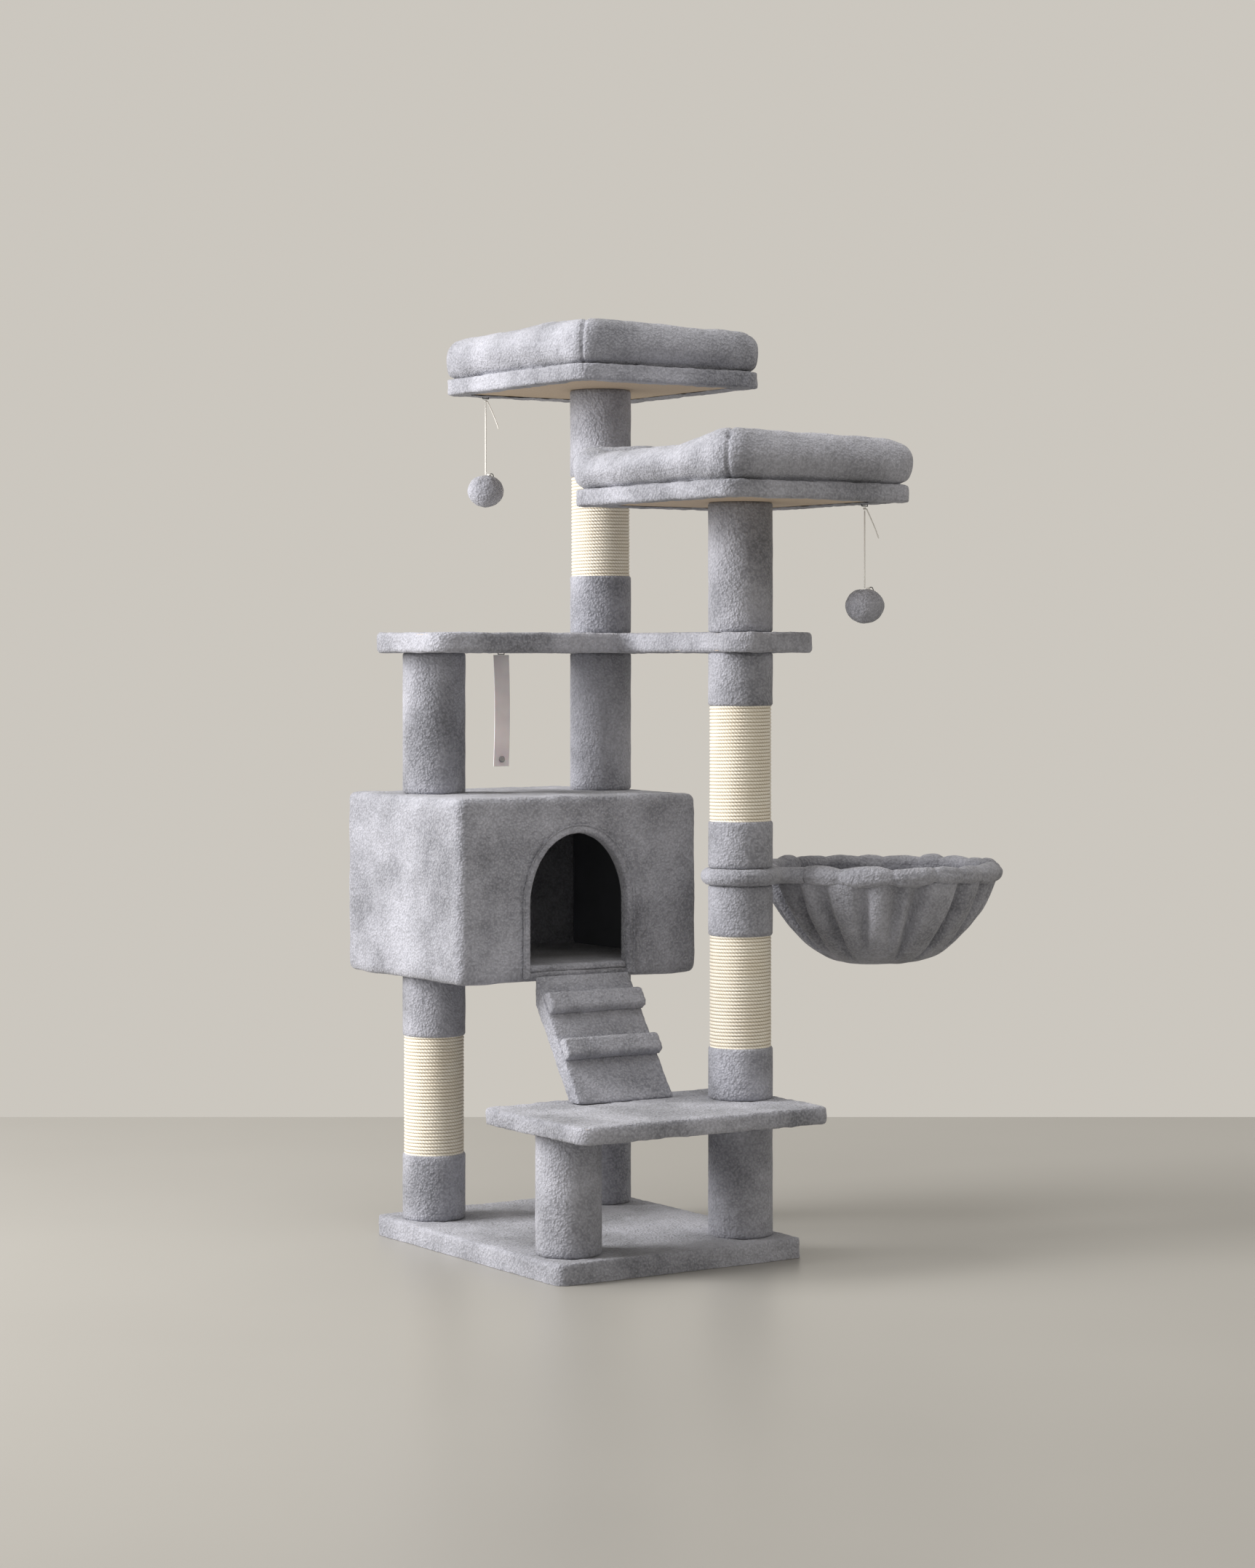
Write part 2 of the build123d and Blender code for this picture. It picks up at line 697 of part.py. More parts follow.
for name, (x, y, knot_z) in toys.items():
    knot = Vector(x, y, knot_z)
    root = knot + tail_lean * (0.9 * knot_radius)
    bend = root + tail_lean * (0.26 * tail_length) + Vector(0, 0, -0.54 * tail_length)
    tip = bend + tail_lean * (0.12 * tail_length) + Vector(0, 0, -0.38 * tail_length)

    with BuildPart() as tail:
        with Locations(knot):
            Sphere(knot_radius)
        with BuildLine() as tail_path:
            FilletPolyline(root, bend, tip, radius=0.45 * tail_length)
        with BuildSketch(Plane(origin=root, z_dir=bend - root)):
            Circle(tail_radius)
        sweep(path=tail_path.line)
    save(tail, f"{name}_tail")

    string_top = knot_z - knot_radius - seat_gap
    string_bottom = string_top - string_length
    with BuildPart() as string:
        column((x, y), string_bottom, string_top, string_radius)
    save(string, f"{name}_string")

    ball_z = string_bottom - ball_half_height
    with BuildPart() as ball:
        with BuildSketch(Plane((x, y, ball_z), x_dir=(1, 0, 0), z_dir=(0, -1, 0))):
            with BuildLine():
                shoulder = sin(radians(45))
                Spline((0, -ball_half_height), (shoulder * ball_radius, -shoulder * ball_half_height),
                       (ball_radius, 0), (shoulder * ball_radius, shoulder * ball_half_height),
                       (0, ball_half_height), tangents=((1, 0), (-1, 0)))
                Line((0, ball_half_height), (0, -ball_half_height))
            make_face()
        revolve(axis=Axis((x, y, 0), (0, 0, 1)))
    save(ball, f"{name}_ball")

strap_pivot_z = platform_bottom - staple_drop
staple_seats = [
    (left_toy_x, left_toy_y, top_rim - staple_drop),
    (right_toy_x, right_toy_y, lower_rim - staple_drop),
    (strap_x, strap_y, strap_pivot_z),
]

with BuildPart() as staples:
    for x, y, crown_z in staple_seats:
        for side in (-1, 1):
            with Locations((x + side * staple_width / 2, y, crown_z)):
                Cylinder(wire_radius, staple_legs, align=standing)
                Sphere(wire_radius)
        with Locations((x, y, crown_z)):
            Cylinder(wire_radius, staple_width, rotation=(0, 90, 0))
save(staples, "staples")

# ---------------------------------------------------------------- wall anchor strap

strap_top = strap_pivot_z - wire_radius - seat_gap
strap_bottom = strap_top - strap_length
screw_z = strap_bottom + strap_screw_rise
bow_at_screw = strap_bow * (1 - (1 - 2 * strap_screw_rise / strap_length) ** 2)
screw_seat_y = strap_y - bow_at_screw - strap_thickness / 2 - seat_gap

with BuildPart() as anchor_strap:
    with BuildSketch(Plane.YZ.offset(strap_x)):
        with BuildLine():
            faces = []
            for y in (strap_y - strap_thickness / 2, strap_y + strap_thickness / 2):
                middle = (y - strap_bow, (strap_top + strap_bottom) / 2)
                faces.append(ThreePointArc((y, strap_top), middle, (y, strap_bottom)))
            Line(faces[0] @ 0, faces[1] @ 0)
            Line(faces[0] @ 1, faces[1] @ 1)
        make_face()
    extrude(amount=strap_width / 2, both=True)
    with Locations((strap_x, strap_y, screw_z)):
        Cylinder(screw_shank_radius + fit, 8 * strap_thickness, rotation=(90, 0, 0), mode=Mode.SUBTRACT)
save(anchor_strap, "anchor_strap")

with BuildPart() as anchor_screw:
    with BuildSketch(Plane.XZ.offset(-screw_seat_y)):
        with Locations((strap_x, screw_z)):
            Circle(screw_head_radius)
    extrude(amount=screw_head_height)
    fillet(anchor_screw.edges().group_by(Axis.Y)[0], 0.45 * screw_head_height)
    with BuildSketch(Plane.XZ.offset(-screw_seat_y)):
        with Locations((strap_x, screw_z)):
            Circle(screw_shank_radius)
    extrude(amount=-screw_shank_length)
save(anchor_screw, "anchor_screw")
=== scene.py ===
"""Looks of the cat tree: plush, wound sisal, stuffed rims, a gathered hammock and hanging toys."""
import json
import math
import random

import bmesh
import bpy
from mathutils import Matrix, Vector, noise


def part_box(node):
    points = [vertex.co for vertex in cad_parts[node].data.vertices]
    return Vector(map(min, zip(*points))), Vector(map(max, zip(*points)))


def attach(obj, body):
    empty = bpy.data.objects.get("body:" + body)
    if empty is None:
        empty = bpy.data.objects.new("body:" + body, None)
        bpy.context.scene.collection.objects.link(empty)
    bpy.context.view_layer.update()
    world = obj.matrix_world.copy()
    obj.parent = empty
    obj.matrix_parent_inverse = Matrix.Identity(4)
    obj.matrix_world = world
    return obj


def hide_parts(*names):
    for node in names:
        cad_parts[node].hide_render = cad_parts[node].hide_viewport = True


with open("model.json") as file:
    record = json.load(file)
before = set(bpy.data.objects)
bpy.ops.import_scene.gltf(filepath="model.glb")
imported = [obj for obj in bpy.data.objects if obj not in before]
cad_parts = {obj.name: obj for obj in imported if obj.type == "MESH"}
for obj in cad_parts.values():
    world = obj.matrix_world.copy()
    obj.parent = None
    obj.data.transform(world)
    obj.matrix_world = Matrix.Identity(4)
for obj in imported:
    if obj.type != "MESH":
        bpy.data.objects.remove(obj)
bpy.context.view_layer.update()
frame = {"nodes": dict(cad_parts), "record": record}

NODES = frame["nodes"]
MM = 0.001


# ---------------------------------------------------------------- camera and light


def add_camera():
    """A level camera at the front left, as high as the middle platform."""
    data = bpy.data.cameras.new("camera")
    data.sensor_width = 36
    data.lens = 78.1
    data.shift_y = -0.0798
    data.clip_end = 50
    camera = bpy.data.objects.new("camera", data)
    camera.location = (-2.6057, -4.0520, 0.8310)
    camera.rotation_euler = (math.radians(90), 0, math.radians(-33.46))
    bpy.context.scene.collection.objects.link(camera)
    bpy.context.scene.camera = camera


def add_area_light(name, place, target, size, power, colour=(1, 1, 1)):
    """A large soft light that points at a target."""
    data = bpy.data.lights.new(name, "AREA")
    data.shape = "RECTANGLE"
    data.size = size[0]
    data.size_y = size[1]
    data.energy = power
    data.color = colour
    light = bpy.data.objects.new(name, data)
    light.location = place
    light.rotation_euler = (Vector(target) - Vector(place)).to_track_quat("-Z", "Y").to_euler()
    bpy.context.scene.collection.objects.link(light)


def add_studio():
    """A soft key light from the left, a weak light from above, a pale world and a plain floor."""
    world = bpy.data.worlds.new("studio")
    world.use_nodes = True
    background = world.node_tree.nodes["Background"]
    background.inputs["Color"].default_value = (0.60, 0.57, 0.52, 1)
    background.inputs["Strength"].default_value = 1.0
    bpy.context.scene.world = world
    add_area_light("key", (-3.4, 1.3, 2.2), (0, 0, 0.75), (1.8, 2.4), 225, (1, 0.98, 0.96))
    add_area_light("top", (-0.8, -0.6, 3.4), (0, 0, 0.8), (1.8, 1.8), 26)
    bpy.context.scene.view_settings.view_transform = "Standard"

    camera = bpy.context.scene.camera
    ahead = camera.matrix_basis.to_quaternion() @ Vector((0, 0, -1))
    across = camera.matrix_basis.to_quaternion() @ Vector((1, 0, 0))
    foot = Vector((camera.location.x, camera.location.y, 0))
    behind, far_edge, half_width = -1, 6.17, 6
    plan = [(behind, -half_width), (behind, half_width), (far_edge, half_width), (far_edge, -half_width)]
    corners = [foot + ahead * depth + across * side for depth, side in plan]
    floor = new_object("floor", corners, [(0, 1, 2, 3)])
    floor.data.materials.append(floor_material())


# ---------------------------------------------------------------- materials


class Shader:
    """A material's node tree, with short calls that add and join nodes."""

    def __init__(self, name, colour, roughness, metallic=0.0, sheen=0.0):
        self.material = bpy.data.materials.new(name)
        self.material.use_nodes = True
        self.tree = self.material.node_tree
        self.surface = self.tree.nodes["Principled BSDF"]
        self.surface.inputs["Base Color"].default_value = (*colour, 1)
        self.surface.inputs["Roughness"].default_value = roughness
        self.surface.inputs["Metallic"].default_value = metallic
        self.surface.inputs["Sheen Weight"].default_value = sheen
        self.surface.inputs["Sheen Roughness"].default_value = 0.45

    def add(self, kind, settings=None, **inputs):
        """A node; an input is a value, or the socket that feeds it."""
        node = self.tree.nodes.new(kind)
        for key, value in (settings or {}).items():
            setattr(node, key, value)
        for key, value in inputs.items():
            socket = node.inputs[key.replace("_", " ")]
            if isinstance(value, bpy.types.NodeSocket):
                self.tree.links.new(value, socket)
            else:
                socket.default_value = value
        return node

    def place(self, scale=(1, 1, 1)):
        """The point on the piece, in metres, stretched by a scale."""
        source = self.add("ShaderNodeTexCoord").outputs["Object"]
        return self.add("ShaderNodeMapping", Vector=source, Scale=scale).outputs["Vector"]

    def noise(self, scale, detail=2.0, roughness=0.5, vector=None):
        """Noise with so many features to the metre."""
        vector = vector or self.place()
        inputs = {"Vector": vector, "Scale": scale, "Detail": detail, "Roughness": roughness}
        return self.add("ShaderNodeTexNoise", **inputs).outputs["Fac"]

    def cells(self, scale, feature="SMOOTH_F1"):
        """Round cells, as many to the metre."""
        node = self.add("ShaderNodeTexVoronoi", {"feature": feature}, Vector=self.place(), Scale=scale)
        return node.outputs["Distance"]

    def span(self, value, low, high, out_low=0.0, out_high=1.0):
        """A value's range mapped to another range."""
        node = self.add("ShaderNodeMapRange")
        self.tree.links.new(value, node.inputs["Value"])
        limits = (low, high, out_low, out_high)
        for key, limit in zip(("From Min", "From Max", "To Min", "To Max"), limits):
            node.inputs[key].default_value = limit
        return node.outputs["Result"]

    def math(self, operation, first, second):
        """One sum on two values."""
        node = self.add("ShaderNodeMath", {"operation": operation})
        for socket, value in zip(node.inputs, (first, second)):
            if isinstance(value, bpy.types.NodeSocket):
                self.tree.links.new(value, socket)
            else:
                socket.default_value = value
        return node.outputs["Value"]

    def mix(self, factor, first, second):
        """Two colours blended by a factor."""
        node = self.add("ShaderNodeMix", {"data_type": "RGBA"})
        self.tree.links.new(factor, node.inputs[0])
        for socket, value in ((node.inputs[6], first), (node.inputs[7], second)):
            if isinstance(value, bpy.types.NodeSocket):
                self.tree.links.new(value, socket)
            else:
                socket.default_value = (*value, 1)
        return node.outputs[2]

    def finish(self, colour=None, roughness=None, height=None, depth=1 * MM, strength=0.6):
        """Join the colour, the roughness and the bump to the surface."""
        links = self.tree.links
        if colour is not None:
            links.new(colour, self.surface.inputs["Base Color"])
        if roughness is not None:
            links.new(roughness, self.surface.inputs["Roughness"])
        if height is not None:
            bump = self.add("ShaderNodeBump", Strength=strength, Distance=depth, Height=height)
            links.new(bump.outputs["Normal"], self.surface.inputs["Normal"])
        return self.material


def plush_material(name, dark, light, patch=10.0):
    """Short brushed pile: soft patches where it lies another way, and small tufts, lighter on top and
    darker between them, partly real tone and partly painted shade.
    """
    shader = Shader(name, light, 0.95, sheen=0.25)
    patches = shader.span(shader.noise(patch, 3, 0.55), 0.34, 0.66)
    tufts = shader.span(shader.cells(330), 0.05, 0.62, 1.0, 0.0)
    grain = shader.noise(950, 3, 0.6)
    wide = shader.span(shader.noise(150, 2, 0.5), 0.3, 0.7)
    # Partly real tone, partly painted shade: the tufts, grain and broad noise also raise the bump, so
    # raised pile is lighter and the gaps between tufts darker.
    tone_and_tuft_shade = shader.math("MULTIPLY", patches, 0.50)
    tone_and_tuft_shade = shader.math("ADD", tone_and_tuft_shade, shader.math("MULTIPLY", tufts, 0.36))
    tone_and_tuft_shade = shader.math("ADD", tone_and_tuft_shade, shader.math("MULTIPLY", wide, 0.12))
    tone_and_tuft_shade = shader.math("ADD", tone_and_tuft_shade, shader.math("MULTIPLY", grain, 0.16))
    tone_and_tuft_shade = shader.math("SUBTRACT", tone_and_tuft_shade, 0.10)
    colour = shader.mix(tone_and_tuft_shade, dark, light)
    height = shader.math("ADD", shader.math("MULTIPLY", tufts, 0.7), shader.math("MULTIPLY", grain, 0.55))
    height = shader.math("ADD", height, shader.math("MULTIPLY", wide, 0.5))
    return shader.finish(colour, height=height, depth=2.0 * MM, strength=0.85)


def sisal_material():
    """Twisted sisal yarn: slanting strands along the rope, pale and dry, with painted shade in the grooves
    between turns and between strands.
    """
    shader = Shader("sisal", (0.80, 0.72, 0.55), 0.85, sheen=0.1)
    rope = shader.add("ShaderNodeUVMap", {"uv_map": "rope"}).outputs["UV"]
    parts = shader.add("ShaderNodeSeparateXYZ", Vector=rope)
    slant = shader.math("MULTIPLY", parts.outputs["Y"], 0.9)
    turn = shader.math("MULTIPLY", shader.math("ADD", parts.outputs["X"], slant), 2 * math.pi)
    strand = shader.span(shader.math("SINE", turn, 0.0), -1.0, 1.0)
    # Painted shade: the colour darkens towards the groove between two turns of rope.
    across = shader.math("SUBTRACT", shader.math("FRACT", parts.outputs["Y"], 0.0), 0.5)
    crown = shader.span(shader.math("ABSOLUTE", across, 0.0), 0.28, 0.5, 1.0, 0.0)
    fibre = shader.noise(700, 4, 0.65)
    tint = shader.span(shader.noise(30, 2, 0.5), 0.3, 0.7)
    straw = shader.mix(tint, (0.88, 0.82, 0.71), (0.94, 0.90, 0.81))
    # Painted shade: towards a dark brown in the troughs between strands and in the grooves between turns.
    lit = shader.math("MULTIPLY", crown, shader.span(strand, 0.0, 0.35, 0.55, 1.0))
    colour = shader.mix(lit, (0.44, 0.37, 0.26), straw)
    height = shader.math("ADD", strand, shader.math("MULTIPLY", fibre, 0.7))
    return shader.finish(colour, height=height, depth=0.7 * MM, strength=0.8)


def board_material():
    """Bare pressed board: beige, with fine chips."""
    shader = Shader("board", (0.52, 0.40, 0.29), 0.75)
    chips = shader.span(shader.noise(420, 4, 0.7), 0.35, 0.65)
    broad = shader.span(shader.noise(14, 2, 0.5), 0.3, 0.7)
    fine = shader.mix(chips, (0.50, 0.39, 0.28), (0.64, 0.52, 0.39))
    colour = shader.mix(shader.math("MULTIPLY", broad, 0.4), fine, (0.56, 0.45, 0.35))
    return shader.finish(colour, height=chips, depth=0.2 * MM, strength=0.3)


def lining_material():
    """Smooth grey backing cloth on the inside of the house's walls."""
    shader = Shader("house_inside", (0.16, 0.17, 0.19), 0.7)
    weave = shader.noise(1200, 2, 0.5, shader.place((1, 1, 0.4)))
    cloud = shader.span(shader.noise(8, 2, 0.5), 0.3, 0.7)
    colour = shader.mix(cloud, (0.13, 0.14, 0.16), (0.19, 0.20, 0.23))
    return shader.finish(colour, height=weave, depth=0.2 * MM, strength=0.4)


def card_material():
    """Grey-brown rolled paper of the post tubes."""
    shader = Shader("paper_tube", (0.42, 0.31, 0.20), 0.8)
    wraps = shader.noise(60, 3, 0.5, shader.place((0.3, 0.3, 4)))
    colour = shader.mix(wraps, (0.38, 0.28, 0.18), (0.48, 0.37, 0.25))
    return shader.finish(colour, height=wraps, depth=0.3 * MM, strength=0.3)


def steel_material(name="zinc_steel", colour=(0.62, 0.62, 0.64), roughness=0.3):
    """Plated steel with fine wear."""
    shader = Shader(name, colour, roughness, metallic=1.0)
    wear = shader.noise(260, 3, 0.6)
    gloss = shader.span(wear, 0.3, 0.7, roughness - 0.08, roughness + 0.14)
    return shader.finish(roughness=gloss, height=wear, depth=0.05 * MM, strength=0.2)


def cord_material():
    """White braided cord."""
    shader = Shader("white_cord", (0.86, 0.85, 0.81), 0.7, sheen=0.1)
    diagonal = {"bands_direction": "DIAGONAL"}
    braid = shader.add("ShaderNodeTexWave", diagonal, Vector=shader.place(), Scale=420.0)
    fuzz = shader.noise(1500, 2, 0.6)
    height = shader.math("ADD", braid.outputs["Fac"], shader.math("MULTIPLY", fuzz, 0.5))
    colour = shader.mix(fuzz, (0.90, 0.89, 0.86), (0.97, 0.96, 0.94))
    return shader.finish(colour, height=height, depth=0.25 * MM, strength=0.6)


def strap_material():
    """Milky nylon strip, smooth and a little glossy."""
    shader = Shader("milky_strap", (0.66, 0.67, 0.70), 0.35)
    shader.surface.inputs["Subsurface Weight"].default_value = 0.25
    shader.surface.inputs["Subsurface Scale"].default_value = 0.004
    ribs = shader.noise(900, 2, 0.5, shader.place((1, 1, 0.02)))
    cloud = shader.span(shader.noise(25, 2, 0.5), 0.3, 0.7)
    colour = shader.mix(cloud, (0.60, 0.61, 0.65), (0.72, 0.73, 0.76))
    return shader.finish(colour, height=ribs, depth=0.1 * MM, strength=0.25)


def floor_material():
    """Plain pale floor."""
    shader = Shader("floor", (0.42, 0.41, 0.39), 0.36)
    haze = shader.noise(0.9, 3, 0.5)
    colour = shader.mix(haze, (0.33, 0.32, 0.30), (0.40, 0.39, 0.365))
    return shader.finish(colour)


# ---------------------------------------------------------------- mesh helpers


def new_object(name, points, faces):
    """A mesh object from points in metres."""
    mesh = bpy.data.meshes.new(name)
    mesh.from_pydata(points, [], faces)
    mesh.validate()
    piece = bpy.data.objects.new(name, mesh)
    bpy.context.scene.collection.objects.link(piece)
    return piece


def grid_object(name, rows, closed=True):
    """A surface from rows of points; each row closes on itself where closed."""
    count = len(rows[0])
    points = [point for row in rows for point in row]
    faces = []
    last = count if closed else count - 1
    for row in range(len(rows) - 1):
        for column in range(last):
            following = (column + 1) % count
            near = row * count
            far = near + count
            faces.append((near + column, near + following, far + following, far + column))
    return new_object(name, points, faces)


def smooth_shade(piece):
    """Shade a whole mesh smooth."""
    piece.data.polygons.foreach_set("use_smooth", [True] * len(piece.data.polygons))
    piece.data.update()


def face_outwards(piece):
    """Point every face outwards."""
    edit = bmesh.new()
    edit.from_mesh(piece.data)
    bmesh.ops.recalc_face_normals(edit, faces=edit.faces)
    edit.to_mesh(piece.data)
    edit.free()


def weld(piece):
    """Join the points of a mesh that coincide, and point its faces outwards."""
    edit = bmesh.new()
    edit.from_mesh(piece.data)
    bmesh.ops.remove_doubles(edit, verts=edit.verts, dist=0.01 * MM)
    edit.to_mesh(piece.data)
    edit.free()
    face_outwards(piece)


def close_holes(piece, sides, below=math.inf):
    """Close the round holes of a mesh that lie below a height, and point its faces outwards."""
    edit = bmesh.new()
    edit.from_mesh(piece.data)
    rims = [edge for edge in edit.edges if edge.is_boundary and edge.verts[0].co.z < below]
    bmesh.ops.holes_fill(edit, edges=rims, sides=sides)
    edit.to_mesh(piece.data)
    edit.free()
    face_outwards(piece)


def settle(piece):
    """Put a piece's modifiers into its mesh."""
    shown = piece.evaluated_get(bpy.context.evaluated_depsgraph_get())
    mesh = bpy.data.meshes.new_from_object(shown)
    piece.modifiers.clear()
    old = piece.data
    piece.data = mesh
    bpy.data.meshes.remove(old)


def joined_copy(name, nodes):
    """One new mesh from the meshes of several CAD nodes."""
    edit = bmesh.new()
    for node in nodes:
        edit.from_mesh(NODES[node].data)
    mesh = bpy.data.meshes.new(name)
    edit.to_mesh(mesh)
    edit.free()
    piece = bpy.data.objects.new(name, mesh)
    bpy.context.scene.collection.objects.link(piece)
    return piece


def remesh(piece, voxel, soften):
    """Even quads over the outside of a piece, with its edges rounded."""
    cut = piece.modifiers.new("even", "REMESH")
    cut.mode = "VOXEL"
    cut.voxel_size = voxel
    if soften:
        ease = piece.modifiers.new("ease", "SMOOTH")
        ease.factor = 0.5
        ease.iterations = soften
    settle(piece)


def ruffle(piece, layers):
    """Move a mesh along its normals by layers of (depth, size) noise."""
    mesh = piece.data
    normals = [vertex.normal.copy() for vertex in mesh.vertices]
    for vertex, normal in zip(mesh.vertices, normals):
        shift = 0.0
        for depth, size in layers:
            shift += depth * noise.noise(vertex.co / size)
        vertex.co += normal * shift
    mesh.update()


def delete_faces(piece, unwanted):
    """Delete each face whose centre and normal meet a test."""
    edit = bmesh.new()
    edit.from_mesh(piece.data)
    gone = [face for face in edit.faces if unwanted(face.calc_center_median(), face.normal)]
    bmesh.ops.delete(edit, geom=gone, context="FACES")
    edit.to_mesh(piece.data)
    edit.free()


def dress(piece, material, body, *nodes, slot="plush"):
    """Finish a piece: its material, its shading, its body and the CAD nodes that it stands for."""
    piece.data.materials.clear()
    piece.data.materials.append(material)
    if piece.type == "MESH":
        smooth_shade(piece)
    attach(piece, body)
    if nodes:
        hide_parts(*nodes)


# ---------------------------------------------------------------- cords


def curve_object(name, points, radius, order=3):
    """A round cord along one open NURBS spline."""
    curve = bpy.data.curves.new(name, "CURVE")
    curve.dimensions = "3D"
    curve.bevel_depth = radius
    curve.bevel_resolution = 4
    curve.resolution_u = 16
    curve.use_fill_caps = True
    spline = curve.splines.new("NURBS")
    spline.points.add(len(points) - 1)
    for target, point in zip(spline.points, points):
        target.co = (*point, 1)
    spline.order_u = order
    spline.use_endpoint_u = True
    piece = bpy.data.objects.new(name, curve)
    bpy.context.scene.collection.objects.link(piece)
    return piece


TAIL_LEAN = Vector((0.834, -0.551, 0))
KNOT_RADIUS = 2.6 * MM
TAIL_LENGTH = 45 * MM


def toy_cords(side, cord):
    """A toy's string, tight under its ball, and the free tail of its knot."""
    string_low, string_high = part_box(f"{side}_toy_string")
    x = (string_low.x + string_high.x) / 2
    y = (string_low.y + string_high.y) / 2
    radius = (string_high.x - string_low.x) / 2
    top = string_high.z
    bottom = string_low.z
    middle = (top + bottom) / 2
    string = curve_object(f"{side}_toy_string_cord", [(x, y, top), (x, y, middle), (x, y, bottom)], radius)
    dress(string, cord, f"{side}_toy", f"{side}_toy_string", slot="cord")

    knot = Vector((x, y, top + 0.3 * MM + KNOT_RADIUS))
    root = knot + TAIL_LEAN * (0.9 * KNOT_RADIUS)
    bend = root + TAIL_LEAN * (0.26 * TAIL_LENGTH) + Vector((0, 0, -0.54 * TAIL_LENGTH))
    tip = bend + TAIL_LEAN * (0.12 * TAIL_LENGTH) + Vector((0, 0, -0.38 * TAIL_LENGTH))
    tail = curve_object(f"{side}_toy_tail_cord", [root, bend, tip], 0.9 * MM)
    dress(tail, cord, f"{side}_toy_knot", f"{side}_toy_tail", slot="cord")
    tie = knot_object(f"{side}_toy_knot_tie", knot, 1.75 * MM, 0.85 * MM)
    dress(tie, cord, f"{side}_toy_knot", slot="cord")
    return Vector((x, y, bottom))


def knot_object(name, centre, reach, radius):
    """A small overhand knot: a closed trefoil of cord."""
    rows = []
    steps = 72
    sides = 8
    pinch = 0.45

    def trefoil(angle):
        spread = reach * (1 + pinch * math.cos(3 * angle)) / (1 + pinch)
        return centre + Vector((spread * math.cos(2 * angle), spread * math.sin(2 * angle),
                                0.5 * reach * math.sin(3 * angle)))

    for step in range(steps + 1):
        turn = 2 * math.pi * step / steps
        here = trefoil(turn)
        ahead = (trefoil(turn + 0.01) - here).normalized()
        across = ahead.cross(Vector((0, 0, 1))).normalized()
        up = across.cross(ahead)
        ring = []
        for side in range(sides):
            angle = 2 * math.pi * side / sides
            ring.append(here + radius * (across * math.cos(angle) + up * math.sin(angle)))
        rows.append(ring)
    knot = grid_object(name, rows)
    weld(knot)
    return knot


def toy_ball(side, hang, plush, cord, black_wire):
    """A plush ball drawn together at its top, with the string's knot and a staple there."""
    low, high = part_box(f"{side}_toy_ball")
    centre = (low + high) / 2
    radius = (high.x - low.x) / 2
    half_height = (high.z - low.z) / 2
    rows = []
    rings = 40
    sides = 72
    folds = 9
    crease_angle = 3.9
    for ring in range(1, rings):
        polar = math.pi * ring / rings
        gather = max(0.0, 1 - polar / 1.5) ** 1.2
        row = []
        for step in range(sides):
            angle = 2 * math.pi * step / sides
            fold = 1 - abs(math.sin(folds / 2 * angle + 0.6 * math.sin(2 * angle)))
            crease = math.exp(-((angle - crease_angle) / 0.09) ** 2) * max(0.0, 1 - polar / 1.3)
            swell = 1 - 0.10 * gather * fold - 0.10 * crease
            dip = 2.2 * MM * math.exp(-(polar / 0.28) ** 2)
            reach = radius * math.sin(polar) * swell
            row.append((centre.x + reach * math.cos(angle), centre.y + reach * math.sin(angle),
                        centre.z + half_height * math.cos(polar) - dip))
        rows.append(row)
    ball = grid_object(f"{side}_toy_plush_ball", rows)
    close_holes(ball, sides)
    ruffle(ball, [(0.7 * MM, 9 * MM), (0.4 * MM, 3 * MM)])
    dress(ball, plush, f"{side}_toy", f"{side}_toy_ball")
    beside_string = Vector((4.2, -2.8, -0.8)) * MM
    tie = knot_object(f"{side}_toy_ball_tie", hang + beside_string, 2.2 * MM, 0.95 * MM)
    dress(tie, cord, f"{side}_toy", slot="cord")
    outline = [(4, -3), (4.4, 1.6), (9.2, 1.2), (9.4, -4)]
    arch = [hang + Vector((x, -0.66 * x - 1.2, z)) * MM for x, z in outline]
    wire = curve_object(f"{side}_toy_ball_staple", arch, 0.6 * MM)
    dress(wire, black_wire, f"{side}_toy", slot="steel")


# ---------------------------------------------------------------- posts


def plush_tube(name, x, y, low, high, radius):
    """One plush sleeve, its ends tucked in and a sewn seam up its back."""
    sides = 96
    rows = []
    tuck = 3.2 * MM
    seam_angle = math.radians(55)
    steps = max(6, round((high - low) / (6 * MM)))
    heights = [(0.0, tuck), (0.35, 1.1 * MM), (0.9, 0.25 * MM)]
    edge = 3.0 * MM
    levels = [(low + share * edge, inward) for share, inward in heights]
    levels += [(low + edge + (high - low - 2 * edge) * step / steps, 0.0) for step in range(steps + 1)]
    levels += [(high - share * edge, inward) for share, inward in reversed(heights)]
    for z, inward in levels:
        row = []
        for side in range(sides):
            angle = 2 * math.pi * side / sides
            offset = (angle - seam_angle + math.pi) % (2 * math.pi) - math.pi
            seam = 1.3 * MM * math.exp(-(offset * radius / (2.2 * MM)) ** 2)
            wave = 0.5 * MM * noise.noise(Vector((math.cos(angle), math.sin(angle), z * 22)) * 1.6)
            reach = radius - inward - seam + wave
            row.append((x + reach * math.cos(angle), y + reach * math.sin(angle), z))
        rows.append(row)
    return grid_object(name, rows)


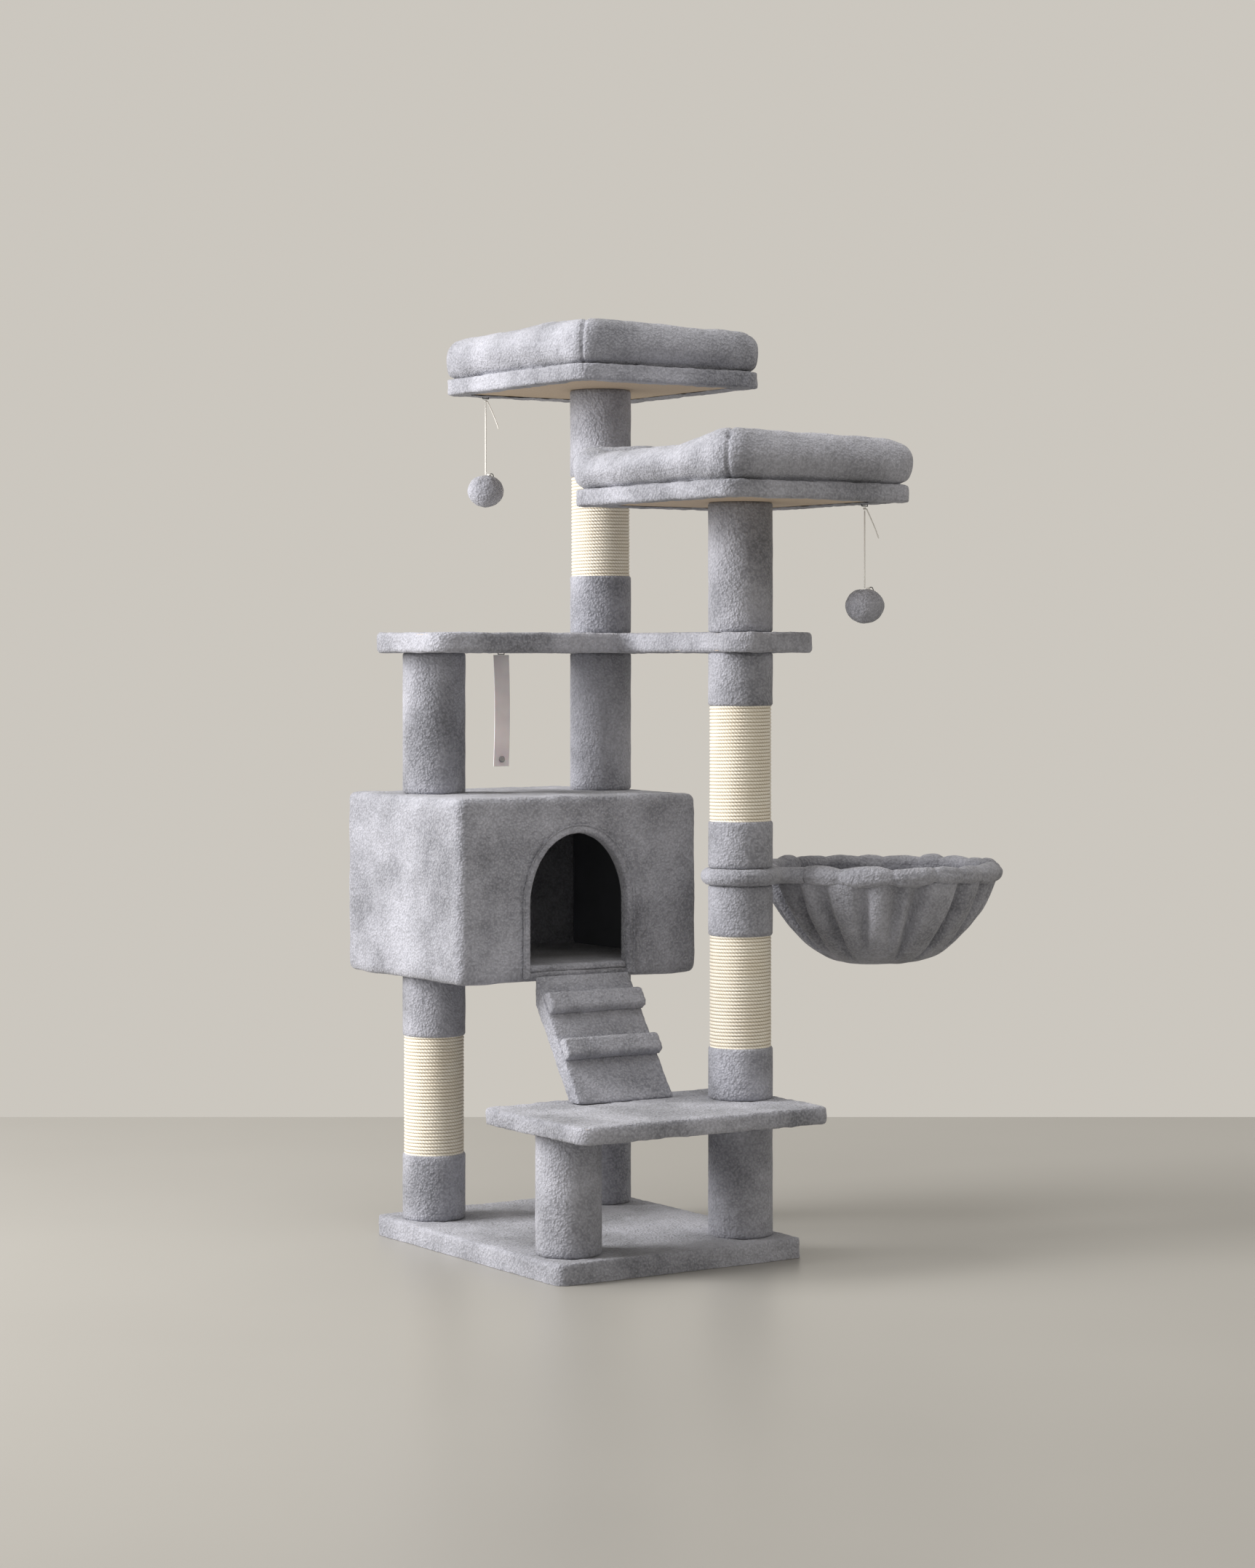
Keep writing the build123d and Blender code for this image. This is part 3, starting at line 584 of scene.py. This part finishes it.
def sisal_winding(name, x, y, low, high, radius, pitch=4.8 * MM):
    """Rope wound close round a tube, as one surface with a ridge for each turn."""
    sides = 144
    per_turn = 8
    rows = []
    count = round((high - low) / pitch * per_turn)
    half = pitch / 2
    for step in range(count + 1):
        z = low + (high - low) * step / count
        row = []
        for side in range(sides + 1):
            share = side / sides
            across = ((z - low) / pitch - share) % 1.0 - 0.5
            ridge = math.sqrt(max(0.0, half * half - (across * pitch) ** 2))
            angle = 2 * math.pi * share
            wobble = 0.25 * MM * noise.noise(Vector((math.cos(angle) * 3, share * 7, z * 300)))
            reach = radius - half + ridge + wobble
            row.append((x + reach * math.cos(angle), y + reach * math.sin(angle), z))
        rows.append(row)
    piece = grid_object(name, rows, closed=False)
    rope = piece.data.uv_layers.new(name="rope")
    strand = 4.6 * MM
    for polygon in piece.data.polygons:
        for loop in polygon.loop_indices:
            index = piece.data.loops[loop].vertex_index
            z = piece.data.vertices[index].co.z
            share = (index % (sides + 1)) / sides
            turn = (z - low) / pitch - share
            rope.data[loop].uv = (share * 2 * math.pi * radius / strand, turn)
    return piece


def dress_posts(plush, sisal):
    """Every post's plush sleeves and sisal winding."""
    for node in sorted(NODES):
        if not node.endswith("_plush"):
            continue
        section = node.removesuffix("_plush")
        low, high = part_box(node)
        x = (low.x + high.x) / 2
        y = (low.y + high.y) / 2
        radius = (high.x - low.x) / 2
        winding = f"{section}_sisal"
        if winding not in NODES:
            sleeve = plush_tube(f"{section}_sleeve", x, y, low.z, high.z, radius)
            dress(sleeve, plush, "frame", node)
            continue
        wind_low, wind_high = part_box(winding)
        wind_radius = (wind_high.x - wind_low.x) / 2
        lap = 0.6 * MM
        lower = plush_tube(f"{section}_sleeve_foot", x, y, low.z, wind_low.z + lap, radius)
        upper = plush_tube(f"{section}_sleeve_head", x, y, wind_high.z - lap, high.z, radius)
        dress(lower, plush, "frame", node)
        dress(upper, plush, "frame", node)
        wrap = sisal_winding(f"{section}_rope", x, y, wind_low.z, wind_high.z, wind_radius)
        dress(wrap, sisal, "frame", winding, slot="sisal")


# ---------------------------------------------------------------- covered boards


def covered_board(cover, board, name, plush, voxel=4 * MM, bare_above=None, sink=0.0):
    """The plush over a board, wrapped round its edge.

    Faces that look down more than bare_above over the foot go, so that the bare board shows there. The foot
    is lowered by sink before the edges are rounded, so that it can be cut off square at the floor.
    """
    piece = joined_copy(name, [cover, board])
    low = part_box(cover)[0]
    for vertex in piece.data.vertices:
        if vertex.co.z < low.z + 1 * MM:
            vertex.co.z -= sink
    remesh(piece, voxel, 3)
    if bare_above is not None:
        bare_from = low.z + bare_above
        delete_faces(piece, lambda centre, normal: normal.z < -0.7 and centre.z > bare_from)
    ruffle(piece, [(0.9 * MM, 45 * MM), (1.1 * MM, 14 * MM), (0.5 * MM, 6 * MM)])
    dress(piece, plush, "frame", cover)
    return piece


def dress_boards(plush):
    """Base, step, middle platform and ramp."""
    base = covered_board("base_cover", "base_board", "base_plush_skin", plush, sink=12 * MM)
    delete_faces(base, lambda centre, normal: centre.z < -0.5 * MM)
    for vertex in base.data.vertices:
        vertex.co.z = max(vertex.co.z, 0.4 * MM)
    covered_board("step_cover", "step_board", "step_plush_skin", plush)
    covered_board("platform_cover", "platform_board", "platform_plush_skin", plush)
    ramp = joined_copy("ramp_plush_skin", ["ramp_cover", "ramp_board"])
    remesh(ramp, 3.5 * MM, 3)
    ruffle(ramp, [(0.6 * MM, 30 * MM), (0.4 * MM, 9 * MM)])
    dress(ramp, plush, "frame", "ramp_cover")
    rungs = joined_copy("ramp_plush_rungs", ["ramp_rungs"])
    remesh(rungs, 2.5 * MM, 3)
    ruffle(rungs, [(0.7 * MM, 22 * MM), (0.4 * MM, 7 * MM)])
    dress(rungs, plush, "frame", "ramp_rungs")


# ---------------------------------------------------------------- perches


def inflate(piece, pressure, cap, frames=20):
    """Cloth simulation: blow a closed fabric form up, and cap how far each point moves."""
    start = [vertex.co.copy() for vertex in piece.data.vertices]
    cloth = piece.modifiers.new("stuffing", "CLOTH")
    cloth.settings.use_pressure = True
    cloth.settings.uniform_pressure_force = pressure
    cloth.settings.effector_weights.gravity = 0
    cloth.settings.mass = 0.3
    cloth.settings.tension_stiffness = 12
    cloth.settings.compression_stiffness = 12
    cloth.settings.bending_stiffness = 0.4
    cloth.settings.quality = 5
    cloth.collision_settings.use_collision = False
    cloth.point_cache.frame_start = 1
    cloth.point_cache.frame_end = frames
    for step in range(1, frames + 1):
        bpy.context.scene.frame_set(step)
    settle(piece)
    bpy.context.scene.frame_set(1)
    for vertex, place in zip(piece.data.vertices, start):
        move = vertex.co - place
        if move.length > cap:
            vertex.co = place + move.normalized() * cap
    piece.data.update()


def bolster(name, body_node, band_top, crest, swell, plush):
    """The stuffed rim of a perch: inflated, crowned, sewn at its corners and pinched at its foot."""
    piece = joined_copy(f"{name}_stuffed_rim", [body_node])
    low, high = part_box(body_node)
    centre = (low + high) / 2
    remesh(piece, 6 * MM, 4)
    inflate(piece, 4.0, 7 * MM)
    subdivide(piece)
    height = high.z - band_top
    half_x = (high.x - low.x) / 2
    half_y = (high.y - low.y) / 2
    wall = 12 * MM
    for vertex in piece.data.vertices:
        share_x = (vertex.co.x - centre.x) / half_x
        share_y = (vertex.co.y - centre.y) / half_y
        rise = max(0.0, vertex.co.z - band_top)
        vertex.co.z = max(band_top - 0.5 * MM, band_top + rise * crest(share_x, share_y))
        foot = math.exp(-(rise / (5 * MM)) ** 2)
        outward = Vector((vertex.co.x - centre.x, vertex.co.y - centre.y, 0))
        in_side_wall = abs(share_x) > 1 - wall / half_x or abs(share_y) > 1 - wall / half_y
        if in_side_wall:
            plump = math.sin(math.pi * min(1, rise / height))
            vertex.co += outward.normalized() * (swell * plump - 3.0 * MM * foot)
    piece.data.update()
    sew_corners(piece, centre, half_x, half_y)
    ruffle(piece, [(2.4 * MM, 70 * MM), (1.1 * MM, 24 * MM), (0.4 * MM, 9 * MM)])
    face_outwards(piece)
    dress(piece, plush, "frame", body_node)


def subdivide(piece):
    """One level of subdivision, put into the mesh."""
    level = piece.modifiers.new("finer", "SUBSURF")
    level.levels = 1
    level.render_levels = 1
    settle(piece)


def sew_corners(piece, centre, half_x, half_y):
    """A pulled-in seam down each outer corner."""
    inset = 13 * MM
    beyond = 30 * MM
    width = 2.6 * MM
    normals = [vertex.normal.copy() for vertex in piece.data.vertices]
    for vertex, normal in zip(piece.data.vertices, normals):
        dx = abs(vertex.co.x - centre.x) - (half_x - inset)
        dy = abs(vertex.co.y - centre.y) - (half_y - inset)
        beside = (dx - dy) / math.sqrt(2)
        if dx > -beyond and dy > -beyond:
            vertex.co -= normal * (2.6 * MM * math.exp(-(beside / width) ** 2))
    piece.data.update()


def pad(name, node, plush):
    """The loose cushion in a perch: a crowned pad."""
    piece = joined_copy(f"{name}_cushion", [node])
    low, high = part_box(node)
    centre = (low + high) / 2
    narrowed = 0.985
    for vertex in piece.data.vertices:
        vertex.co.x = centre.x + (vertex.co.x - centre.x) * narrowed
        vertex.co.y = centre.y + (vertex.co.y - centre.y) * narrowed
    remesh(piece, 6 * MM, 6)
    inflate(piece, 4.0, 6 * MM)
    subdivide(piece)
    half_x = (high.x - low.x) / 2
    half_y = (high.y - low.y) / 2
    for vertex in piece.data.vertices:
        share_x = (vertex.co.x - centre.x) / half_x
        share_y = (vertex.co.y - centre.y) / half_y
        crown = (1 - min(1, share_x ** 2)) * (1 - min(1, share_y ** 2))
        if vertex.co.z > centre.z:
            vertex.co.z = centre.z + (vertex.co.z - centre.z) * (0.75 + 0.45 * crown ** 0.5)
        vertex.co.z = max(vertex.co.z, low.z)
    piece.data.update()
    ruffle(piece, [(1.8 * MM, 55 * MM), (0.7 * MM, 17 * MM)])
    dress(piece, plush, "frame", node)


def top_crest(share_x, share_y):
    """The top perch's rim stands highest at its front corner."""
    return 1.05 - 0.055 * (share_x + 1) - 0.035 * (share_y + 1)


def lower_crest(share_x, share_y):
    """The lower perch's left rim sags between its front corner and its far end."""
    left = max(0.0, min(1.0, (-share_x - 0.35) / 0.4))
    along = (share_y + 1) / 2
    sag = max(0.0, min(1.0, (along - 0.12) / 0.22)) * max(0.0, min(1.0, (0.97 - along) / 0.12))
    return 1.10 - 0.05 * (share_x + 1) - 0.03 * (share_y + 1) - 0.24 * left * sag


def dress_perches(plush):
    """Both perches: the covered board, the stuffed rim and the cushion."""
    for name, crest, swell in (("top_perch", top_crest, 4 * MM), ("lower_perch", lower_crest, 8 * MM)):
        cover = f"{name}_cover"
        covered_board(cover, f"{name}_board", f"{name}_plush_band", plush, 3 * MM, bare_above=1.4 * MM)
        band_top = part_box(cover)[1].z
        bolster(name, f"{name}_bolster", band_top, crest, swell, plush)
        pad(name, f"{name}_pad", plush)


# ---------------------------------------------------------------- house


def dress_house(plush, inside):
    """The house: its plush skin, the band round its doorway and its lining."""
    walls = ["house_front_wall", "house_back_wall", "house_side_walls", "house_floor", "house_roof"]
    skin = joined_copy("house_plush_skin", ["house_skin", *walls])
    core_low, core_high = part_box("house_floor")
    roof_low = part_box("house_roof")[0]
    wall = 11 * MM
    behind_doorway = 3 * MM
    lap = 2 * MM
    room_low = Vector((core_low.x + wall, core_low.y + behind_doorway, core_high.z - lap))
    room_high = Vector((core_high.x - wall, core_high.y - wall, roof_low.z + lap))

    def in_room(centre, normal):
        return all(room_low[axis] < centre[axis] < room_high[axis] for axis in range(3))

    remesh(skin, 4 * MM, 3)
    delete_faces(skin, in_room)
    ruffle(skin, [(1.6 * MM, 70 * MM), (0.8 * MM, 26 * MM), (0.4 * MM, 9 * MM)])
    dress(skin, plush, "frame", "house_skin")
    for wall in walls:
        NODES[wall].data.materials.clear()
        NODES[wall].data.materials.append(inside)
    lining = joined_copy("house_plush_lining", ["house_lining"])
    remesh(lining, 3 * MM, 1)
    dress(lining, plush, "frame", "house_lining", slot="lining")
    doorway_trim(plush)


def doorway_trim(plush):
    """The sewn band round the doorway: a soft strip that turns in through the wall, with two seams."""
    low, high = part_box("door_trim")
    front = low.y
    band = 9 * MM
    half = (high.x - low.x) / 2 - band
    centre_x = (low.x + high.x) / 2
    apex = high.z - band
    arch = 100 * MM
    spring = apex - arch
    foot = low.z - 6 * MM
    path = []
    straight = 16
    round_steps = 64
    for step in range(straight):
        path.append((Vector((-half, foot + (spring - foot) * step / straight)), Vector((-1, 0))))
    for step in range(round_steps + 1):
        angle = math.pi - math.pi * step / round_steps
        point = Vector((half * math.cos(angle), spring + arch * math.sin(angle)))
        normal = Vector((math.cos(angle) / half, math.sin(angle) / arch)).normalized()
        path.append((point, normal))
    for step in range(1, straight + 1):
        path.append((Vector((half, spring + (foot - spring) * step / straight)), Vector((1, 0))))
    section = [(12, 3.0), (10.2, 2.2), (9.4, 0.4), (8.4, 1.6), (6, 2.4), (3, 2.6), (1.0, 2.0), (0.1, 0.6),
               (-0.3, -2), (-0.2, -8), (0.0, -15.5)]
    rows = []
    for outward, proud in section:
        row = []
        for point, normal in path:
            spot = point + normal * (outward * MM)
            row.append((centre_x + spot.x, front + 2 * MM - proud * MM, spot.y))
        rows.append(row)
    trim = grid_object("doorway_sewn_band", rows, closed=False)
    thick = trim.modifiers.new("thick", "SOLIDIFY")
    thick.thickness = 1.2 * MM
    thick.offset = 0
    settle(trim)
    face_outwards(trim)
    subdivide(trim)
    ruffle(trim, [(0.5 * MM, 9 * MM)])
    dress(trim, plush, "frame", "door_trim")


# ---------------------------------------------------------------- hammock


def hammock_frame():
    """Places of the hammock's ring that its soft pieces share."""
    low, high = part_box("hammock_ring")
    sleeve_low, sleeve_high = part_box("hammock_sleeve")
    basket_low, basket_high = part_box("hammock_basket")
    basket_middle = (basket_low + basket_high) / 2
    middle = Vector((basket_middle.x, basket_middle.y, (low.z + high.z) / 2))
    rod = (high.z - low.z) / 2
    radius = high.x - rod - middle.x
    hub_low, hub_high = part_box("hammock_hub")
    post = Vector(((hub_low.x + hub_high.x) / 2, middle.y, middle.z))
    loop = post.x - low.x - rod
    tube = (sleeve_high.z - sleeve_low.z) / 2
    return middle, radius, post, loop, tube, basket_low.z


def keyhole(middle, radius, post, loop, bend):
    """Points of the keyhole from one neck, round the post, to the other neck."""
    reach = middle.x - post.x
    near = loop + bend
    far = radius + bend
    bend_x = (near ** 2 - far ** 2 + reach ** 2) / (2 * reach)
    bend_y = math.sqrt(near ** 2 - bend_x ** 2)
    start = math.atan2(bend_y, bend_x)
    ring_angle = math.atan2(bend_y, bend_x - reach)
    points = []
    bend_steps = 8
    loop_steps = 40
    for step in range(bend_steps + 1):
        angle = ring_angle + math.pi + (start - ring_angle) * step / bend_steps
        across = post.x + bend_x + bend * math.cos(angle)
        along = post.y + bend_y + bend * math.sin(angle)
        points.append(Vector((across, along, post.z)))
    for step in range(1, loop_steps):
        angle = start + (2 * math.pi - 2 * start) * step / loop_steps
        points.append(Vector((post.x + loop * math.cos(angle), post.y + loop * math.sin(angle), post.z)))
    mirrored = [Vector((point.x, 2 * post.y - point.y, point.z)) for point in points[:bend_steps + 1]]
    return points + mirrored[::-1], ring_angle


def tube_along(name, points, radius_at, sides=28):
    """A soft open tube along level points; its radius depends on the share of the way and the angle."""
    rows = []
    last = len(points) - 1
    for index, point in enumerate(points):
        ahead = (points[min(index + 1, last)] - points[max(index - 1, 0)]).normalized()
        across = Vector((ahead.y, -ahead.x, 0))
        ring = []
        for side in range(sides):
            angle = 2 * math.pi * side / sides
            radius = radius_at(index / last, angle)
            up = Vector((0, 0, radius * math.sin(angle)))
            ring.append(point + across * (radius * math.cos(angle)) + up)
        rows.append(ring)
    piece = grid_object(name, rows)
    weld(piece)
    return piece


def dress_hammock(plush):
    """The plush on the hammock's ring, its gathered rim and the pleated basket."""
    middle, radius, post, loop, tube, bottom = hammock_frame()
    neck, ring_angle = keyhole(middle, radius, post, loop, 30 * MM)

    def neck_radius(share, angle):
        return tube + 0.5 * MM * noise.noise(Vector((share * 14, math.cos(angle), math.sin(angle))))

    sleeve = tube_along("hammock_post_sleeve", neck, neck_radius)
    ruffle(sleeve, [(0.5 * MM, 10 * MM)])
    dress(sleeve, plush, "hammock", "hammock_sleeve")

    chance = random.Random(7)
    bunches = 19
    stops = [0.0]
    for bunch in range(bunches):
        stops.append(stops[-1] + chance.uniform(0.7, 1.45))
    stops = [stop / stops[-1] for stop in stops]
    swells = [chance.uniform(0.3, 1.0) for bunch in range(bunches)]
    turns = [chance.uniform(-0.6, 0.6) for bunch in range(bunches)]

    def gathered(share, angle):
        bunch = max(index for index in range(bunches) if stops[index] <= share + 1e-9)
        inside = (share - stops[bunch]) / (stops[bunch + 1] - stops[bunch])
        belly = math.sin(math.pi * min(1, max(0, inside))) ** 0.55
        fold = math.exp(-(math.sin(angle + turns[bunch]) / 0.22) ** 2) * 1.4 * MM
        return tube * 0.84 + (1.0 + 5.6 * swells[bunch]) * MM * belly - fold

    rim_points = []
    rim_steps = 420
    first = ring_angle + 0.02
    for step in range(rim_steps + 1):
        angle = first - 2 * first * step / rim_steps
        wander = 3.0 * MM * noise.noise(Vector((math.cos(angle) * 3, math.sin(angle) * 3, 4.2)))
        rim_points.append(middle + Vector((radius * math.cos(angle), radius * math.sin(angle), wander)))
    rim = tube_along("hammock_gathered_rim", rim_points, gathered, sides=32)
    ruffle(rim, [(0.6 * MM, 8 * MM)])
    dress(rim, plush, "hammock", "hammock_sleeve")

    basket_piece(middle, radius, bottom, plush)


def basket_piece(middle, radius, bottom, plush):
    """The basket: one cloth, pleated under its rim and slack and smooth in its floor."""
    chance = random.Random(11)
    pleats = 21
    places = [2 * math.pi * (index + chance.uniform(-0.25, 0.25)) / pleats for index in range(pleats)]
    depths = [chance.uniform(0.5, 1.0) for index in range(pleats)]
    reaches = [chance.uniform(0.4, 0.66) for index in range(pleats)]
    leans = [chance.uniform(-0.12, 0.12) for index in range(pleats)]
    sides = 360
    rings = 60
    rim_radius = radius + 1.5 * MM
    rim_height = middle.z - 9 * MM
    bowl_foot = bottom + 6 * MM
    rows = []
    for ring in range(1, rings + 1):
        share = ring / rings
        row = []
        for side in range(sides):
            angle = 2 * math.pi * side / sides
            groove = 0.0
            for place, strength, length, lean in zip(places, depths, reaches, leans):
                grown = (share - 1 + length) / length
                if grown <= 0:
                    continue
                gap = (angle - place - lean * (1 - grown) + math.pi) % (2 * math.pi) - math.pi
                width = 0.045 + 0.02 * grown
                groove += strength * min(1, 1.6 * grown) * math.exp(-(gap / width) ** 2)
            under_rim = 1 - 0.4 * max(0.0, (share - 0.9) / 0.1)
            shift = (8.0 * share ** 2 - 22.0 * groove) * under_rim * MM
            spot = rim_radius * share + shift
            height = rim_height - (rim_height - bowl_foot) * (1 - share ** 3.1)
            row.append((middle.x + spot * math.cos(angle), middle.y + spot * math.sin(angle),
                        height - 0.35 * shift * (1 - share)))
        rows.append(row)
    piece = grid_object("hammock_pleated_basket", rows)
    close_holes(piece, sides, below=bowl_foot + 20 * MM)
    ruffle(piece, [(1.8 * MM, 60 * MM), (0.8 * MM, 20 * MM)])
    thick = piece.modifiers.new("cloth", "SOLIDIFY")
    thick.thickness = 2.4 * MM
    thick.offset = -1
    settle(piece)
    dress(piece, plush, "hammock", "hammock_basket")


# ---------------------------------------------------------------- carried-over CAD nodes


def finish_nodes(board, card, steel, black, strap):
    """Materials of the CAD nodes that stay."""
    finishes = {
        "board": board,
        "paper_tube": card,
        "steel": steel,
        "strap": strap,
    }
    slots = {entry["node"]: entry["material_slot"] for entry in frame["record"]["subparts"]}
    screw = steel_material("screw_steel", (0.30, 0.30, 0.32), 0.22)
    special = {"staples": black, "anchor_screw": screw}
    for node, piece in NODES.items():
        if slots[node] in finishes:
            piece.data.materials.clear()
            piece.data.materials.append(special.get(node, finishes[slots[node]]))


def build():
    """Make every piece, cords first."""
    plush = plush_material("grey_plush", (0.155, 0.16, 0.185), (0.57, 0.58, 0.66))
    board = board_material()
    steel = steel_material()
    cord = cord_material()
    hangs = {side: toy_cords(side, cord) for side in ("left", "right")}
    black = steel_material("black_wire", (0.05, 0.05, 0.055), 0.45)
    finish_nodes(board, card_material(), steel, black, strap_material())
    for side, hang in hangs.items():
        toy_ball(side, hang, plush, cord, black)
    dress_posts(plush, sisal_material())
    dress_boards(plush)
    dress_house(plush, lining_material())
    dress_perches(plush)
    dress_hammock(plush)


add_camera()
add_studio()
build()
